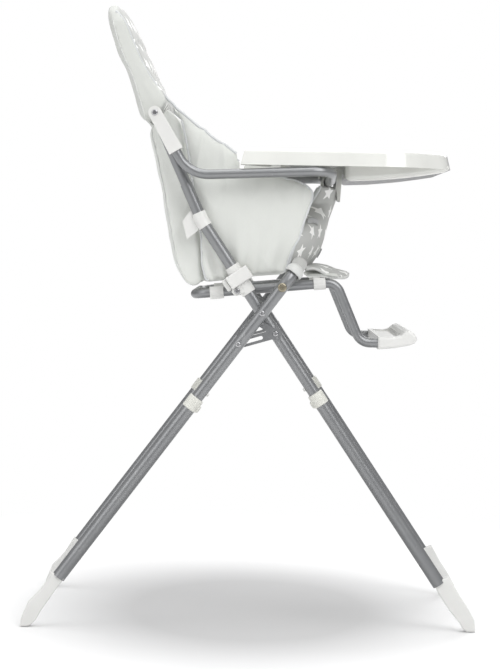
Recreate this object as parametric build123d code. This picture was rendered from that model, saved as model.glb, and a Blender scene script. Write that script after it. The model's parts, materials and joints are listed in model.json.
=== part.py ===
from build123d import *
from math import cos, radians, sin, sqrt
import os

# Folding baby high chair.  Millimetres, +Z up, the child faces -Y, and the chair is symmetric about X = 0.
# The origin is on the floor, at the middle of the chair's footprint.
# A side-view point is a pair (y, z), and an angle is measured from +Y (rear) towards +Z (up).

# ---- angles of the main lines ----
FRONT_LEG = 55.9
REAR_LEG = 180 - 53.3
BACK = 65.7
HEAD = 68.8
SEAT = 180 - 5.6
ARM_SOCKET = 60.2
ARM = 180 - 2.5

# ---- points of the frame, seen from the side ----
PIVOT = (-14.0, 526.0)
ARM_HINGE = (168.2, 853.6)
FRAME_BEND = (89.0, 678.2)

# ---- half widths: each kind of tube runs in a layer of its own ----
SEAT_X = 186.0
FRONT_X = 212.0
LINK_X = 224.0
REAR_X = 236.0
ARM_X = 236.0

# ---- tubes ----
LEG_OD = 20.0
LOWER_LEG_OD = 22.4
HOOP_OD = 18.0
SEAT_OD = 16.0
ARM_OD = 16.0
WALL = 1.2
LEG_WALL = 0.95
LOWER_WALL = 1.1
FRAME_BEND_RADIUS = 60.0

# ---- distances along the legs, from the main pivot ----
SEAT_PIVOT_UP = 54.3
CROSSBAR_UP = 101.0
FRONT_COLLAR_DOWN = 171.5
REAR_COLLAR_DOWN = 188.0
FRONT_LEG_END = 541.0
REAR_LEG_END = 553.0
LEG_OVERLAP = 55.0
LINK_PIVOT_DOWN = 40.7
LINK_BOLT_DOWN = 64.7
BUTTON_ABOVE_COLLAR = 26.0

# ---- sliding block on the front leg ----
BLOCK_PIN_UP = 53.3
BLOCK_PIN_BACK = 14.7
BLOCK_LOW = 39.5
BLOCK_HIGH = 93.0
BLOCK_OD = 25.0
LATCH_UP = 70.0

# ---- fits ----
RUN = 0.06
FIT = 0.02
GAP = 0.3


def along(p, angle, distance, side=0.0):
    """The side-view point at a distance from p along an angle, then sideways, clockwise of it."""
    c, s = cos(radians(angle)), sin(radians(angle))
    return (p[0] + distance * c + side * s, p[1] + distance * s - side * c)


def at(x, p):
    """The space point above the side-view point p, at x."""
    return Vector(x, p[0], p[1])


def rod(x0, x1, p, radius):
    """A round bar along X through the side-view point p."""
    return Pos((x0 + x1) / 2, p[0], p[1]) * Rot(0, 90, 0) * Cylinder(radius, abs(x1 - x0))


def bar(x, p, angle, low, high, radius):
    """A round bar in the side view's plane at x, from low to high along an angle through p."""
    c, s = cos(radians(angle)), sin(radians(angle))
    axis = Plane(origin=at(x, along(p, angle, low)), z_dir=(0, c, s))
    return axis * Cylinder(radius, high - low, align=(Align.CENTER, Align.CENTER, Align.MIN))


def slab(points, x0, x1):
    """A side-view outline, extruded from x0 to x1."""
    low, high = min(x0, x1), max(x0, x1)
    return extrude(Plane.YZ.offset(low) * Polygon(*points, align=None), high - low, dir=(1, 0, 0))


def stadium(p, q, radius, x0, x1):
    """A bar with round ends from side-view point p to q, and from x0 to x1."""
    length = sqrt((q[0] - p[0]) ** 2 + (q[1] - p[1]) ** 2)
    c, s = (q[0] - p[0]) / length, (q[1] - p[1]) / length
    corners = [
        (p[0] - radius * s, p[1] + radius * c),
        (q[0] - radius * s, q[1] + radius * c),
        (q[0] + radius * s, q[1] - radius * c),
        (p[0] + radius * s, p[1] - radius * c),
    ]
    return slab(corners, x0, x1) + rod(x0, x1, p, radius) + rod(x0, x1, q, radius)


def swept(points, radii, outer, wall=None):
    """A round bar, or a tube with that wall, along straight runs joined by arcs."""
    path = FilletPolyline(*points, radius=radii) if radii else Polyline(*points)
    section = Circle(outer)
    if wall:
        section -= Circle(outer - wall)
    return sweep(Plane(origin=path @ 0, z_dir=path % 0) * section, path=path)


def mirrored(shape):
    """The same piece on the other side of the chair."""
    return mirror(shape, about=Plane.YZ)


def pair(shape):
    """The piece and its mirror image, as one group of separate solids."""
    return Compound(children=[*shape.solids(), *mirrored(shape).solids()])


def softened(shape, radius, edges=None):
    """The shape with its edges rounded, at the largest radius of three that the kernel can make."""
    for share in (1, 0.6, 0.3):
        try:
            rounded = fillet(edges if edges is not None else shape.edges(), radius * share)
            if rounded.is_valid:
                return rounded
        except Exception:
            continue
    return shape


# ---- points worked out from the ones above ----
SEAT_PIVOT = along(PIVOT, REAR_LEG, SEAT_PIVOT_UP)
CROSSBAR = along(PIVOT, REAR_LEG, CROSSBAR_UP)
BLOCK_PIN = along(PIVOT, FRONT_LEG, BLOCK_PIN_UP, BLOCK_PIN_BACK)
LINK_PIVOT = along(PIVOT, FRONT_LEG, -LINK_PIVOT_DOWN)
LINK_BOLT = along(PIVOT, REAR_LEG, -LINK_BOLT_DOWN)
FRONT_COLLAR = along(PIVOT, FRONT_LEG, -FRONT_COLLAR_DOWN)
REAR_COLLAR = along(PIVOT, REAR_LEG, -REAR_COLLAR_DOWN)
SWAGE = along(ARM_HINGE, BACK, -127.0)
HOOP_TOP = along(ARM_HINGE, HEAD, 150.0)

HOOP_RUN = [
    at(-FRONT_X, along(SWAGE, BACK, -30.0)),
    at(-FRONT_X, ARM_HINGE),
    at(-FRONT_X, HOOP_TOP),
    at(FRONT_X, HOOP_TOP),
    at(FRONT_X, ARM_HINGE),
    at(FRONT_X, along(SWAGE, BACK, -30.0)),
]
HOOP_RADII = [300.0, 80.0, 80.0, 300.0]

parts = {}

# ======================= front frame =======================
SCREW_R = 3.0
SEAT_BOLT_R = 3.5


def front_leg_tube(x):
    run = [at(x, along(FRONT_COLLAR, FRONT_LEG, -LEG_OVERLAP)), at(x, FRAME_BEND), at(x, SWAGE)]
    tube = swept(run, [FRAME_BEND_RADIUS], LEG_OD / 2, LEG_WALL)
    tube -= rod(x - 15, x + 15, PIVOT, SCREW_R + RUN)
    tube -= rod(x - 15, x + 15, LINK_PIVOT, 2.5 + FIT)
    button = along(FRONT_COLLAR, FRONT_LEG, BUTTON_ABOVE_COLLAR)
    tube -= bar(x, button, FRONT_LEG - 90, 0, 20, 3.1)
    latch = along(PIVOT, FRONT_LEG, LATCH_UP)
    return tube - bar(x, latch, FRONT_LEG - 90, 0, 20, 3.1)


def lower_leg(x, collar, angle, end):
    """The lower tube slides over the upper one and is closed by a rounded end."""
    top = 9.0
    foot = along(PIVOT, angle, -end)
    tube = swept([at(x, foot), at(x, along(collar, angle, top))], None, LOWER_LEG_OD / 2, LOWER_WALL)
    plug = bar(x, foot, angle, 0, 9, LOWER_LEG_OD / 2)
    return tube + softened(plug, 6.0, plug.edges().filter_by(GeomType.CIRCLE).sort_by(Axis.Z)[:1])


def collar_ring(x, collar, angle, lobe_side):
    """A plastic ring with a screw lobe, made upright and then set across the leg."""
    ring = Pos(0, 0, -11) * Cylinder(13.0, 23, align=(Align.CENTER, Align.CENTER, Align.MIN))
    ring = softened(ring, 2.0, ring.edges().filter_by(GeomType.CIRCLE))
    lobe = Pos(-11.0, 0, -9) * Cylinder(5.0, 13, align=(Align.CENTER, Align.CENTER, Align.MIN))
    ring += softened(lobe, 3.0, lobe.edges().filter_by(GeomType.CIRCLE))
    ring -= Pos(0, 0, -12) * Cylinder(LOWER_LEG_OD / 2 + FIT, 21.1, align=(Align.CENTER, Align.CENTER, Align.MIN))
    ring -= Pos(0, 0, 9.0) * Cylinder(LEG_OD / 2 + FIT, 4, align=(Align.CENTER, Align.CENTER, Align.MIN))
    c, s = cos(radians(angle)), sin(radians(angle))
    across = Plane(origin=at(x, collar), x_dir=(0, -lobe_side * s, lobe_side * c), z_dir=(0, c, s))
    return across * ring


def snap_button(x, collar, angle, normal):
    base = along(collar, angle, BUTTON_ABOVE_COLLAR)
    pip = bar(x, base, normal, 3.0, 13.0, 3.0)
    pip = softened(pip, 1.6, pip.edges().filter_by(GeomType.CIRCLE).sort_by(Axis.Z)[:1])
    flange = bar(x, base, normal, 3.0, 4.4, 4.2)
    return pip + flange


def button_spring(x, collar, angle, side):
    """A bent leaf inside the tube, which presses the button's flange outwards."""
    base = along(collar, angle, BUTTON_ABOVE_COLLAR)
    outline = [(-5, 2.8), (5, 2.8), (5, 2.0), (-3, 2.0), (-28, -7.4), (8, -7.4), (8, -8.2), (-31, -8.2)]
    return slab([along(base, angle, a, side * b) for a, b in outline], x - 3, x + 3)


# The foot is a flat skid.  Its upper end is hollowed, so that the outer half of the tube's end shows.
FRONT_FOOT = [
    (-306.0, 82.0), (-318.0, 60.0), (-335.0, 35.0), (-352.0, 15.0), (-357.5, 5.0), (-365.0, 0.0),
    (-378.5, 0.0), (-376.5, 20.0), (-364.0, 42.0), (-351.0, 61.0), (-342.0, 77.0), (-333.8, 91.5),
]
REAR_FOOT = [
    (306.0, 81.0), (317.0, 66.5), (331.0, 46.0), (344.0, 27.0), (352.5, 12.0), (361.0, 2.5), (367.0, 0.0),
    (378.5, 0.0), (377.5, 13.0), (371.0, 29.0), (366.0, 41.0), (356.5, 50.0), (345.0, 63.0), (336.0, 77.0),
    (327.5, 92.0),
]


def foot_skid(x, outline, angle, end):
    side = -1 if x < 0 else 1
    skid = slab(outline, x - side * 13.5, x + side * 8.0)
    caps = skid.faces().filter_by(Axis.X)
    skid = softened(skid, 2.5, caps[0].edges() + caps[-1].edges())
    tip = along(PIVOT, angle, -end)
    return skid - bar(x, tip, angle, -0.2, 80, LOWER_LEG_OD / 2 + FIT)


def back_clip(x):
    """A plastic ring round the tube's bend, with a flat tab that holds the back fabric."""
    run = [
        at(x, along(FRAME_BEND, FRONT_LEG, -12)),
        at(x, FRAME_BEND),
        at(x, along(FRAME_BEND, BACK, 14)),
    ]
    ring = swept(run, [FRAME_BEND_RADIUS], LEG_OD / 2 + 1.8)
    tab = slab([(98, 696), (110, 692), (121, 676), (113, 646), (95, 661), (92, 672)], x - 1, x + 1)
    bore = [
        at(x, along(FRAME_BEND, FRONT_LEG, -40)),
        at(x, FRAME_BEND),
        at(x, along(FRAME_BEND, BACK, 40)),
    ]
    return ring + tab - swept(bore, [FRAME_BEND_RADIUS], LEG_OD / 2 + FIT)


for side_name, sign in (("right", -1), ("left", 1)):
    front = sign * FRONT_X
    rear = sign * REAR_X
    parts[f"front_leg_tube_{side_name}"] = front_leg_tube(front)
    parts[f"front_lower_leg_{side_name}"] = lower_leg(front, FRONT_COLLAR, FRONT_LEG, FRONT_LEG_END)
    parts[f"front_collar_{side_name}"] = collar_ring(front, FRONT_COLLAR, FRONT_LEG, 1)
    parts[f"front_foot_{side_name}"] = foot_skid(front, FRONT_FOOT, FRONT_LEG, FRONT_LEG_END)
    parts[f"front_leg_button_{side_name}"] = snap_button(front, FRONT_COLLAR, FRONT_LEG, FRONT_LEG - 90)
    parts[f"rear_lower_leg_{side_name}"] = lower_leg(rear, REAR_COLLAR, REAR_LEG, REAR_LEG_END)
    parts[f"rear_collar_{side_name}"] = collar_ring(rear, REAR_COLLAR, REAR_LEG, -1)
    parts[f"rear_foot_{side_name}"] = foot_skid(rear, REAR_FOOT, REAR_LEG, REAR_LEG_END)
    parts[f"rear_leg_button_{side_name}"] = snap_button(rear, REAR_COLLAR, REAR_LEG, REAR_LEG + 90)

parts["front_button_springs"] = pair(button_spring(-FRONT_X, FRONT_COLLAR, FRONT_LEG, 1))
parts["rear_button_springs"] = pair(button_spring(-REAR_X, REAR_COLLAR, REAR_LEG, -1))
parts["back_clips"] = pair(back_clip(-FRONT_X))

hoop = swept(HOOP_RUN, HOOP_RADII, HOOP_OD / 2, WALL)
parts["back_hoop"] = hoop - rod(-FRONT_X - 20, FRONT_X + 20, ARM_HINGE, 2.5 + RUN)

# ======================= rear frame =======================
rear_end = along(REAR_COLLAR, REAR_LEG, -LEG_OVERLAP)
rear_tube = swept(
    [at(-REAR_X, rear_end), at(-REAR_X, CROSSBAR), at(REAR_X, CROSSBAR), at(REAR_X, rear_end)],
    [42.0, 42.0], LEG_OD / 2, LEG_WALL,
)
for sign in (-1, 1):
    rear_tube -= rod(sign * (REAR_X - 15), sign * (REAR_X + 15), PIVOT, SCREW_R + FIT)
    rear_tube -= rod(sign * (REAR_X - 15), sign * (REAR_X + 15), SEAT_PIVOT, SEAT_BOLT_R + FIT)
    rear_tube -= rod(sign * (REAR_X - 15), sign * (REAR_X + 15), LINK_BOLT, 2.5 + FIT)
    button = along(REAR_COLLAR, REAR_LEG, BUTTON_ABOVE_COLLAR)
    rear_tube -= bar(sign * REAR_X, button, REAR_LEG + 90, 0, 20, 3.1)
parts["rear_upper_frame"] = rear_tube


def screw(p, x_head, x_tip, radius, head_radius, head_height):
    """A screw or bolt along X with a domed, cross-recessed head outside x_head."""
    head = rod(x_head, x_head - head_height, p, head_radius)
    head = softened(head, head_height * 0.8, head.edges().sort_by(Axis.X)[:1])
    recess = slab([(p[0] - 0.5, p[1] - 2), (p[0] + 0.5, p[1] - 2), (p[0] + 0.5, p[1] + 2), (p[0] - 0.5, p[1] + 2)],
                  x_head - head_height - 1, x_head - head_height + 1)
    cross = recess + slab(
        [(p[0] - 2, p[1] - 0.5), (p[0] + 2, p[1] - 0.5), (p[0] + 2, p[1] + 0.5), (p[0] - 2, p[1] + 0.5)],
        x_head - head_height - 1, x_head - head_height + 1)
    return head + rod(x_head - 0.5, x_tip, p, radius) - cross


outer_face = -(REAR_X + LEG_OD / 2)
parts["main_pivot_screws"] = pair(screw(PIVOT, outer_face, -(FRONT_X - LEG_OD / 2 - 0.8), SCREW_R, 4.8, 2.6))
parts["seat_pivot_bolts"] = pair(screw(SEAT_PIVOT, outer_face, -(SEAT_X - SEAT_OD / 2 - 1.5), SEAT_BOLT_R, 7.6, 3.6))
parts["link_bolts"] = pair(screw(LINK_BOLT, outer_face, -(LINK_X + 2.4), 2.5, 4.6, 2.6))

# ======================= link plates =======================
PLATE = 2.0
SLOT_END = 25.0


def link_plate(side):
    x0, x1 = side * LINK_X - PLATE / 2, side * LINK_X + PLATE / 2
    run = sqrt((LINK_BOLT[0] - LINK_PIVOT[0]) ** 2 + (LINK_BOLT[1] - LINK_PIVOT[1]) ** 2)
    unit = ((LINK_BOLT[0] - LINK_PIVOT[0]) / run, (LINK_BOLT[1] - LINK_PIVOT[1]) / run)
    slot_near = (LINK_PIVOT[0] + unit[0] * SLOT_END, LINK_PIVOT[1] + unit[1] * SLOT_END)
    ear = along(PIVOT, 270, 18.5)
    plate = stadium(LINK_PIVOT, LINK_BOLT, 7.6, x0, x1) + rod(x0, x1, LINK_PIVOT, 10.5)
    plate += stadium(LINK_PIVOT, ear, 5.6, x0, x1)
    plate -= rod(x0 - 2, x1 + 2, ear, 2.0)
    plate -= stadium(slot_near, LINK_BOLT, 3.0, x0 - 1, x1 + 1)
    return plate - rod(x0 - 2, x1 + 2, LINK_PIVOT, 2.5 + RUN)


parts["link_plate_right"] = link_plate(-1)
parts["link_plate_left"] = link_plate(1)
parts["link_pivot_screws"] = pair(
    screw(LINK_PIVOT, -(LINK_X + PLATE / 2 + 0.2), -(FRONT_X - LEG_OD / 2 - 0.8), 2.5, 4.6, 2.2)
)

# ======================= sliding blocks and their latches =======================


def slide_block(x):
    side = -1 if x < 0 else 1
    sleeve = bar(x, PIVOT, FRONT_LEG, BLOCK_LOW, BLOCK_HIGH, BLOCK_OD / 2)
    sleeve = softened(sleeve, 1.2, sleeve.edges().filter_by(GeomType.CIRCLE))
    corner = [(59.4, -21.0), (59.4, 20.0), (82.0, 20.0), (82.0, -21.0)]
    housing = slab([along(PIVOT, FRONT_LEG, a, b) for a, b in corner], x - side * 12.0, x + side * 19.0)
    housing = softened(housing, 2.5)
    lug = slab(
        [along(PIVOT, FRONT_LEG, a, b) for a, b in [(44, 4), (47, 20), (51, 23), (57.4, 23), (62, 19), (62, 4)]],
        x - side * 12.0, x + side * 12.0,
    )
    block = sleeve + housing + softened(lug, 1.5)
    block -= bar(x, PIVOT, FRONT_LEG, 0, 140, LEG_OD / 2 + RUN)
    latch = along(PIVOT, FRONT_LEG, LATCH_UP)
    block -= bar(x, latch, FRONT_LEG - 90, 5, 40, 3.0 + RUN)
    return block - rod(x - 30, x + 30, BLOCK_PIN, 3.0 + FIT)


def latch_pull(x):
    """A spring-loaded pin with a finger pad.  Its tip stops just short of the leg, so that the block can slide."""
    base = along(PIVOT, FRONT_LEG, LATCH_UP)
    pin = bar(x, base, FRONT_LEG - 90, LEG_OD / 2 + 0.4, 22.0, 3.0)
    pad_outline = [(60.0, 20.4), (60.0, 28.0), (81.0, 28.0), (81.0, 20.4)]
    pad = slab([along(PIVOT, FRONT_LEG, a, b) for a, b in pad_outline], x - 11.5, x + 11.5)
    return softened(pad, 2.2) + pin


for side_name, sign in (("right", -1), ("left", 1)):
    parts[f"slide_block_{side_name}"] = slide_block(sign * FRONT_X)
    parts[f"latch_pull_{side_name}"] = latch_pull(sign * FRONT_X)
block_screw = screw(BLOCK_PIN, -(FRONT_X + 12.0), -(FRONT_X - 12.4), 3.0, 5.2, 2.6)
parts["block_screws"] = pair(block_screw)

# ======================= seat frame =======================
seat_rear = along(SEAT_PIVOT, SEAT, -145.5)
seat_knee = along(SEAT_PIVOT, SEAT, 90.5)
seat_shin = (-179.0, 478.6)
seat_toe = (-224.0, 478.6)
seat_half = [at(-SEAT_X, p) for p in (seat_toe, seat_shin, seat_knee, seat_rear)]
seat_run = seat_half + [Vector(-v.X, v.Y, v.Z) for v in reversed(seat_half)]
seat_tube = swept(seat_run, [24.0, 22.0, 22.0, 22.0, 22.0, 24.0], SEAT_OD / 2, WALL)
seat_tube -= rod(-SEAT_X - 20, SEAT_X + 20, SEAT_PIVOT, SEAT_BOLT_R + RUN)
parts["seat_tube"] = seat_tube

FOOTREST_HALF = 198.3
FOOTREST = [
    (-208.0, 468.0), (-236.0, 470.5), (-262.0, 475.5), (-270.5, 479.5), (-273.5, 485.0), (-272.5, 490.0),
    (-267.5, 497.0), (-259.0, 500.5), (-253.0, 498.0), (-246.0, 492.0), (-236.0, 489.0), (-208.0, 489.5),
]


def footrest():
    board = slab(FOOTREST, -FOOTREST_HALF, FOOTREST_HALF)
    ends = board.faces().filter_by(Axis.X)
    board = softened(board, 5.0, ends[0].edges() + ends[-1].edges())
    for sign in (-1, 1):
        board -= bar(sign * SEAT_X, seat_toe, 0, -1, 60, SEAT_OD / 2 + FIT)
    recess = slab([(-216, 486), (-243, 486), (-249, 492), (-240, 500), (-216, 500)], -168, 168)
    return board - softened(recess, 3.0)


parts["footrest"] = footrest()


def seat_clip(low, high, wing):
    """A plastic saddle round the seat tube that holds the fabric's edge."""
    ring = bar(-SEAT_X, SEAT_PIVOT, SEAT, low, high, SEAT_OD / 2 + 2.0)
    block = slab([along(SEAT_PIVOT, SEAT, a, b) for a, b in wing], -SEAT_X - 8.0, -SEAT_X + 6.0)
    clip = softened(ring + block, 0.8)
    return pair(clip - bar(-SEAT_X, SEAT_PIVOT, SEAT, low - 20, high + 20, SEAT_OD / 2 + FIT))


parts["rear_seat_clips"] = seat_clip(-121.0, -98.0, [(-121, 0), (-98, 0), (-98, -11), (-121, -11)])
parts["front_seat_clips"] = seat_clip(53.0, 73.0, [(53, -2), (73, -2), (73, 9), (53, 12)])

# ======================= armrest =======================
arm_start = along(ARM_HINGE, ARM_SOCKET, -18.0)
arm_corner = along(ARM_HINGE, ARM_SOCKET, -116.7)
ARM_RISE = 0.0437
arm_front = (-126.0, arm_corner[1] + (arm_corner[0] + 126.0) * ARM_RISE)
bar_drop = 13.0
arm_half = [
    at(-ARM_X, arm_start),
    at(-ARM_X, arm_corner),
    at(-ARM_X, arm_front),
    at(-150.0, (arm_front[0], arm_front[1] - bar_drop)),
]
arm_run = arm_half + [Vector(-v.X, v.Y, v.Z) for v in reversed(arm_half)]
parts["armrest_tube"] = swept(arm_run, [55.0, 30.0, 60.0, 60.0, 30.0, 55.0], ARM_OD / 2, WALL)


def arm_socket(x):
    side = -1 if x < 0 else 1
    tail = along(ARM_HINGE, ARM_SOCKET, -72.0)
    head = rod(x - side * 12.0, x + side * 11.0, ARM_HINGE, 10.8)
    ends = [
        along(ARM_HINGE, ARM_SOCKET, -2, -10.7), along(ARM_HINGE, ARM_SOCKET, -2, 10.7),
        along(ARM_HINGE, ARM_SOCKET, -72, 12.4), along(ARM_HINGE, ARM_SOCKET, -72, -12.4),
    ]
    body = head + slab(ends, x - side * 12.0, x + side * 11.0)
    body = softened(body, 3.0)
    body -= bar(x, tail, ARM_SOCKET, -5, 54.1, ARM_OD / 2 + FIT)
    return body - rod(x - 30, x + 30, ARM_HINGE, 2.5 + FIT)


parts["arm_socket_right"] = arm_socket(-ARM_X)
parts["arm_socket_left"] = arm_socket(ARM_X)
parts["arm_hinge_screws"] = pair(screw(ARM_HINGE, -(ARM_X + 11.0), -(FRONT_X - HOOP_OD / 2 - 0.8), 2.5, 5.2, 2.4))

# ======================= tray =======================
TRAY_TOP = 797.5
TRAY_SKIRT = 771.2
TRAY_FLOOR = 774.0
TRAY_SKIN = 2.6
TRAY_HALF = 240.0
TRAY_REAR = 26.0
TRAY_FRONT = -337.0
BELLY_HALF = 204.0
BELLY_DEEP = -58.0


def tray_face(inset):
    """The tray's outline from above, drawn in by an inset.  The rear edge curves in round the child."""
    half, rear, front = TRAY_HALF - inset, TRAY_REAR - inset, TRAY_FRONT + inset
    outline = FilletPolyline(
        (-half, rear), (-half, -255.0), (-half * 0.62, front + 8), (half * 0.62, front + 8), (half, -255.0),
        (half, rear), radius=[90.0 - inset, 95.0 - inset, 95.0 - inset, 90.0 - inset],
    )
    belly = BELLY_HALF + inset
    shore = Line((half, rear), (belly, rear))
    curve = ThreePointArc((belly, rear), (0, BELLY_DEEP - inset), (-belly, rear))
    return make_face([*outline.edges(), *shore.edges(), *curve.edges(), *Line((-belly, rear), (-half, rear)).edges()])


TRAY_DRAFT = 6.5
WELL_HALF = 150.0
WELL = [
    (-150, 800), (-150, 754), (-156, 749), (-200, 751), (-251, 756), (-286, 761), (-316, 766), (-326, 772), (-326, 800),
]
WELL_INSIDE = [
    (-153, 900), (-153, 757), (-158, 752.2), (-200, 754), (-251, 759), (-286, 764), (-304, 767), (-311, 774), (-311, 900),
]


def tray():
    """A shallow dish with a sloping, rounded rim, and a deeper well in front of the child."""
    up = (0, 0, 1)
    shell = loft([Pos(0, 0, TRAY_SKIRT) * tray_face(0), Pos(0, 0, TRAY_TOP) * tray_face(TRAY_DRAFT)], ruled=True)
    shell = softened(shell, 7.0, shell.faces().sort_by(Axis.Z)[-1].edges())
    shell -= extrude(Pos(0, 0, TRAY_FLOOR + TRAY_SKIN) * tray_face(16.0), 60, dir=up)
    shell -= extrude(Pos(0, 0, TRAY_SKIRT - 1) * tray_face(TRAY_SKIN + 0.4), TRAY_FLOOR - TRAY_SKIRT + 1, dir=up)
    top_cut = extrude(Plane.XY.offset(TRAY_FLOOR + TRAY_SKIN) * Rectangle(600, 900), 60)
    basin = slab(WELL, -WELL_HALF, WELL_HALF)
    basin = softened(basin, 9.0, basin.edges().group_by(Axis.Z)[0] + basin.faces().filter_by(Axis.X).edges())
    basin -= top_cut
    hollow = softened(slab(WELL_INSIDE, 4 - WELL_HALF, WELL_HALF - 4), 5.0)
    return shell + basin - hollow


parts["tray"] = tray()


def arm_height(y):
    return arm_corner[1] + (arm_corner[0] - y) * ARM_RISE


def tray_clips():
    """Brackets under the tray that sit on the armrest's tubes and grip them from inside."""
    y = -32.0
    z = arm_height(y)
    block = Pos(-ARM_X, y, (z - 8.5 + TRAY_FLOOR) / 2) * Box(22.6, 16.0, TRAY_FLOOR - z + 8.5 - 0.05)
    block = softened(block, 1.0, block.edges().filter_by(Axis.Z))
    channel = bar(-ARM_X, (y, z), ARM, -20, 20, ARM_OD / 2 + GAP)
    below = Pos(-ARM_X, y, z - 12) * Box(ARM_OD + 2 * GAP, 30, 24)
    outer = Pos(-ARM_X - 20, y, z - 30 + ARM_OD / 2) * Box(40, 30, 60)
    skirt = Pos(-TRAY_HALF - 6.7, y, TRAY_SKIRT) * Box(20, 30, 50)
    return pair(block - channel - below - outer - skirt)


def tray_hook():
    """A hook under the tray's middle, open below, that sits over the armrest's crossbar."""
    top = TRAY_FLOOR - 0.05
    front_leg = slab([(-149.4, top), (-138.6, top), (-138.6, 738), (-141, 718), (-146, 716)], -24, 24)
    rear_leg = slab([(-111, top), (-106.5, top), (-107.5, 756), (-110, 756)], -24, 24)
    bridge = slab([(-149.4, TRAY_FLOOR - 3), (-106.5, TRAY_FLOOR - 3), (-106.5, top), (-149.4, top)], -24, 24)
    return softened(front_leg, 0.8) + rear_leg + bridge


parts["tray_clips"] = tray_clips()
parts["tray_hook"] = tray_hook()

# ======================= fabric, as plain closed solids =======================
HEAD_PROFILE = [
    (156, 872), (171, 910), (191.5, 953), (210.5, 994), (232, 1030), (240, 1041), (247, 1046), (255, 1046),
    (256, 1034), (246.4, 1005), (229, 959), (213, 926), (198, 877), (184, 832), (172, 836),
]
COVER_HALF = 222.6


def head_cover():
    """The padded cover that pulls down over the top of the back hoop."""
    cover = slab(HEAD_PROFILE, -COVER_HALF, COVER_HALF)
    arch = FilletPolyline(
        (-COVER_HALF, 800), (-COVER_HALF, 1008), (0, 1052), (COVER_HALF, 1008), (COVER_HALF, 800),
        radius=[75.0, 400.0, 75.0],
    )
    front_view = make_face([*arch.edges(), *Line((COVER_HALF, 800), (-COVER_HALF, 800)).edges()])
    cover &= extrude(Plane.XZ.offset(-400) * front_view, 800, dir=(0, -1, 0))
    cover -= swept(HOOP_RUN, HOOP_RADII, HOOP_OD / 2 + GAP)
    return cover - rod(-300, 300, ARM_HINGE, 6.0)


SIDE_PANEL = [
    (152, 873), (128, 857), (95, 833), (61, 812), (31, 793), (29.5, 767), (-56, 749), (-73, 741), (-91, 727), (-93, 718),
    (-78, 690), (-68, 668), (-55, 632), (-49, 592), (0, 588), (52, 580), (84, 574), (86, 596), (90, 637),
    (97, 680), (113, 778), (126, 844),
]
BACK_PANEL = [
    (166, 836), (180, 826), (169, 783), (158, 732), (150.5, 689), (141, 645), (134, 611), (121, 580),
    (108, 567), (98, 569), (104, 590), (112, 640), (124, 700), (138, 770), (150, 826),
]
SEAT_PAD = [
    (95, 576), (52, 581), (0, 589), (-50, 592), (-58, 600), (-56, 612), (-40, 616), (0, 610), (60, 602), (96, 597),
]
SEAT_FLAP = [
    (-90, 606), (-128, 604.5), (-147, 597), (-157, 591.2), (-138, 585.5), (-129, 585), (-92, 584.5), (-88, 595),
]
CROTCH = [
    (-113, 735), (-133, 735), (-127, 698), (-120, 674), (-111, 640), (-98, 620), (-86, 622), (-84, 640), (-92, 684),
    (-104, 715),
]

parts["head_cover"] = head_cover()
parts["side_panel_right"] = slab(SIDE_PANEL, -196, -186)
parts["side_panel_left"] = slab(SIDE_PANEL, 186, 196)
parts["back_panel"] = slab(BACK_PANEL, -178, 178)
parts["seat_pad"] = slab(SEAT_PAD, -176, 176)
parts["seat_flap"] = slab(SEAT_FLAP, -176, 176)
parts["crotch_panel"] = slab(CROTCH, -68, 68)

# ======================= harness =======================
STRAP = 25.0


def strap(points, x, width=STRAP, thickness=1.6):
    """Flat webbing along side-view points, laid on the surface below it."""
    upper = [(y, z + thickness) for y, z in reversed(points)]
    return slab([*points, *upper], x - width / 2, x + width / 2)


BUCKLE_Y = 8.0
parts["crotch_strap"] = strap([(-40, 617.5), (-30, 619), (-12.5, 622)], 0)
shoulder = slab([(134.5, 770), (137.5, 785), (136, 785), (133, 770), (112, 672), (108, 655), (109.6, 655), (114, 672)],
                -72, -48)
parts["shoulder_straps"] = pair(shoulder)
waist = slab([(60, 603.5), (20, 609.5), (4, 612.5), (4, 614.3), (20, 611.2), (60, 605.2)], -150, -125)
parts["waist_straps"] = pair(waist)


def buckle():
    shell = Pos(0, BUCKLE_Y, 626.0) * Box(44, 38, 13)
    shell = softened(shell, 4.0)
    return shell - Pos(0, BUCKLE_Y, 629.5) * Cylinder(9.0 + 0.2, 14)


parts["harness_buckle"] = buckle()
button = Pos(0, BUCKLE_Y, 630.0) * Cylinder(9.0, 6)
parts["buckle_button"] = softened(button, 1.2, button.edges().filter_by(GeomType.CIRCLE).sort_by(Axis.Z)[-1:])

os.makedirs("parts", exist_ok=True)
for name, shape in parts.items():
    export_step(shape, f"parts/{name}.step")
print(len(parts), "nodes")
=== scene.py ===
import json
from math import atan2, cos, exp, pi, radians, sin

import bmesh
import bpy
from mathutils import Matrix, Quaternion, Vector, noise


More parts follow.
